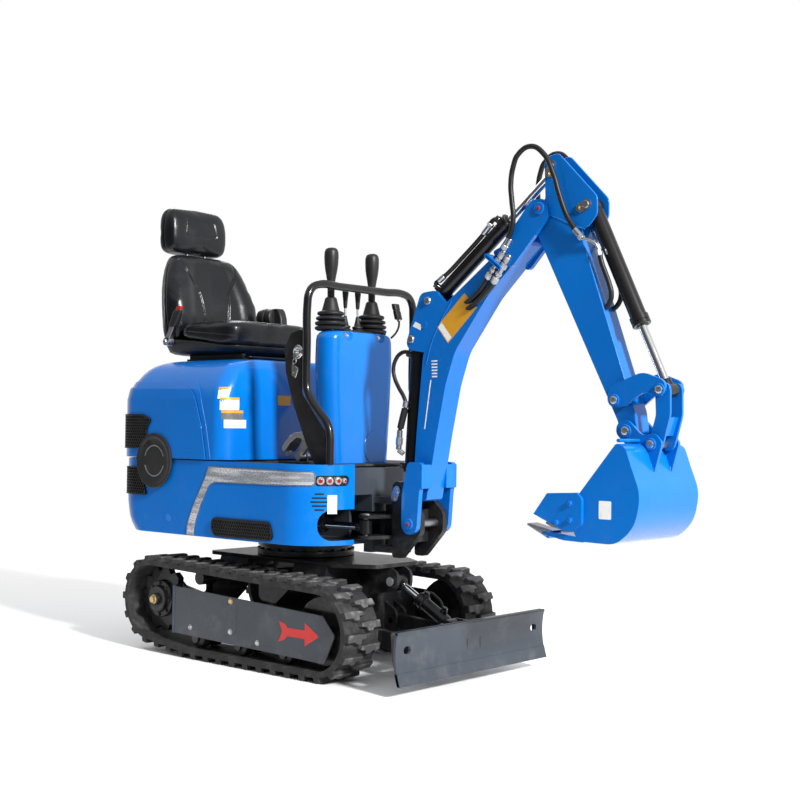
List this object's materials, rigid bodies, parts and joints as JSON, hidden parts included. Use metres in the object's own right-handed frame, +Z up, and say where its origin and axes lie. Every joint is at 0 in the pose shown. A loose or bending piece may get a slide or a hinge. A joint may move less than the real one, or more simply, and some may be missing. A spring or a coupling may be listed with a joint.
{
  "type": "mini excavator",
  "caption": "Compact tracked mini excavator with open operator seat, dozer blade, swing boom, arm and digging bucket.",
  "frame": {"origin": "centre of the bounding box in plan, on the ground under the tracks", "axes": "+X forward, the way the boom and the blade point; +Y to the operator's left; +Z up"},
  "size_m": [2.3968, 0.82, 1.8294],
  "materials": {
    "tyre": "moulded rubber",
    "black": "semi-gloss paint",
    "grey": "semi-gloss paint",
    "blue": "glossy paint",
    "mat": "matte",
    "iron": "rough",
    "steel": "brushed",
    "chrome": "polished",
    "plastic": "moulded",
    "leather": "vinyl, stitched"
  },
  "bodies": {
    "undercarriage": {"track_right": "tyre", "track_left": "tyre", "sprocket_right": "black", "sprocket_left": "black", "idler_right": "black", "idler_left": "black", "track_rollers_right": "black", "track_rollers_left": "black", "side_cover_right": "grey", "side_cover_left": "grey", "track_frame": "black", "slew_ring": "black"},
    "blade": {"blade": "grey"},
    "blade_ram_cylinder": {"blade_ram_cylinder": "black"},
    "blade_ram_rod": {"blade_ram_rod": "chrome"},
    "house": {"house_frame": "grey", "lower_shell": "blue", "engine_hood": "blue", "deck": "mat", "counterweight": "iron", "engine": "iron", "console": "blue", "control_levers": "mat", "handrail": "black", "key_panel": "black", "foot_pedal": "steel", "trim_strip_right": "chrome", "trim_strip_left": "chrome", "seat_base": "plastic", "seat_cushion": "leather", "seat_backrest": "leather", "headrest": "leather"},
    "rear_cover": {"rear_cover": "blue", "roundel_right": "plastic", "roundel_left": "plastic"},
    "swing_bracket": {"swing_bracket": "black"},
    "swing_ram_cylinder": {"swing_ram_cylinder": "black"},
    "swing_ram_rod": {"swing_ram_rod": "chrome"},
    "boom": {"boom": "blue", "hose_right": "mat", "hose_left": "mat"},
    "boom_ram_cylinder": {"boom_ram_cylinder": "black"},
    "boom_ram_rod": {"boom_ram_rod": "chrome"},
    "arm_ram_cylinder": {"arm_ram_cylinder": "black"},
    "arm_ram_rod": {"arm_ram_rod": "chrome"},
    "arm": {"arm": "blue"},
    "bucket_ram_cylinder": {"bucket_ram_cylinder": "black"},
    "bucket_ram_rod": {"bucket_ram_rod": "chrome"},
    "rocker": {"rocker_link_right": "blue", "rocker_link_left": "blue"},
    "bucket": {"bucket": "blue"},
    "bucket_link": {"bucket_link": "blue"}
  },
  "joints": [
    {"name": "house_slew", "type": "hinge", "parent": "undercarriage", "child": "house", "pos_m": [-0.42644, 0, 0.458], "axis": [0, 0, 1], "continuous": true},
    {"name": "blade_lift", "type": "hinge", "parent": "undercarriage", "child": "blade", "pos_m": [-0.08144, 0, 0.15], "axis": [0, -1, 0], "range_deg": [-15, 20]},
    {"name": "blade_ram_pivot", "type": "hinge", "parent": "blade", "child": "blade_ram_cylinder", "pos_m": [0.30156, 0, 0.186], "axis": [0, -1, 0], "range_deg": [-3.5, 4.5]},
    {"name": "blade_ram_slide", "type": "slide", "parent": "blade_ram_cylinder", "child": "blade_ram_rod", "axis": [-0.8726, 0, 0.4884], "range_m": [-0.076, 0.0575]},
    {"name": "rear_cover_hinge", "type": "hinge", "parent": "house", "child": "rear_cover", "pos_m": [-1.21144, 0, 0.762], "axis": [0, -1, 0], "range_deg": [0, 60]},
    {"name": "boom_swing", "type": "hinge", "parent": "house", "child": "swing_bracket", "pos_m": [0.04856, 0, 0.527], "axis": [0, 0, 1], "range_deg": [-60, 50]},
    {"name": "swing_ram_pivot", "type": "hinge", "parent": "house", "child": "swing_ram_cylinder", "pos_m": [-0.51144, -0.215, 0.524], "axis": [0, 0, 1], "range_deg": [-2.5, 2.9]},
    {"name": "swing_ram_slide", "type": "slide", "parent": "swing_ram_cylinder", "child": "swing_ram_rod", "axis": [0.9928, 0.1195, 0], "range_m": [-0.122, 0.102]},
    {"name": "boom_lift", "type": "hinge", "parent": "swing_bracket", "child": "boom", "pos_m": [0.18656, 0, 0.54], "axis": [0, -1, 0], "range_deg": [-110, 6]},
    {"name": "boom_ram_pivot", "type": "hinge", "parent": "boom", "child": "boom_ram_cylinder", "pos_m": [0.14256, 0, 1.2], "axis": [0, -1, 0], "range_deg": [-3.8, 0.68]},
    {"name": "boom_ram_slide", "type": "slide", "parent": "boom_ram_cylinder", "child": "boom_ram_rod", "axis": [-0.0585, 0, -0.9983], "range_m": [-0.0142, 0.2264]},
    {"name": "arm_fold", "type": "hinge", "parent": "boom", "child": "arm", "pos_m": [0.71156, 0, 1.615], "axis": [0, 1, 0], "range_deg": [-95, 8], "deforming": ["hose_right", "hose_left"]},
    {"name": "arm_ram_pivot", "type": "hinge", "parent": "boom", "child": "arm_ram_cylinder", "pos_m": [0.21856, 0, 1.335], "axis": [0, 1, 0], "range_deg": [-5.25, 0.9]},
    {"name": "arm_ram_slide", "type": "slide", "parent": "arm_ram_cylinder", "child": "arm_ram_rod", "axis": [0.7814, 0, 0.624], "range_m": [-0.211, 0.0196]},
    {"name": "bucket_curl", "type": "hinge", "parent": "arm", "child": "bucket", "pos_m": [1.05056, 0, 0.881], "axis": [0, 1, 0], "range_deg": [-80, 60]},
    {"name": "bucket_ram_pivot", "type": "hinge", "parent": "arm", "child": "bucket_ram_cylinder", "pos_m": [0.88456, 0, 1.613], "axis": [0, 1, 0], "range_deg": [-1.3, 1.1]},
    {"name": "bucket_ram_slide", "type": "slide", "parent": "bucket_ram_cylinder", "child": "bucket_ram_rod", "axis": [0.4273, 0, -0.9041], "range_m": [-0.13, 0.098]},
    {"name": "rocker_turn", "type": "hinge", "parent": "arm", "child": "rocker", "pos_m": [1.00756, 0, 0.978], "axis": [0, 1, 0], "range_deg": [-50.1, 37.7]},
    {"name": "bucket_link_turn", "type": "hinge", "parent": "bucket", "child": "bucket_link", "pos_m": [1.14056, 0, 0.841], "axis": [0, 1, 0], "range_deg": [-38.9, 51.7]}
  ],
  "couplings": [
    {"joint": "blade_ram_pivot", "follows": "blade_lift", "ratio": 0.2},
    {"joint": "blade_ram_slide", "follows": "blade_lift", "m_per_rad": -0.21199},
    {"joint": "swing_ram_pivot", "follows": "boom_swing", "ratio": -0.04},
    {"joint": "swing_ram_slide", "follows": "boom_swing", "m_per_rad": 0.11459},
    {"joint": "boom_ram_pivot", "follows": "boom_lift", "ratio": 0.03},
    {"joint": "boom_ram_slide", "follows": "boom_lift", "m_per_rad": -0.11688},
    {"joint": "arm_ram_pivot", "follows": "arm_fold", "ratio": 0.05},
    {"joint": "arm_ram_slide", "follows": "arm_fold", "m_per_rad": 0.12605},
    {"joint": "bucket_ram_pivot", "follows": "bucket_curl", "ratio": 0.01},
    {"joint": "bucket_ram_slide", "follows": "bucket_curl", "m_per_rad": 0.091673},
    {"joint": "rocker_turn", "follows": "bucket_curl", "ratio": 0.62},
    {"joint": "bucket_link_turn", "follows": "bucket_curl", "ratio": -0.64}
  ]
}
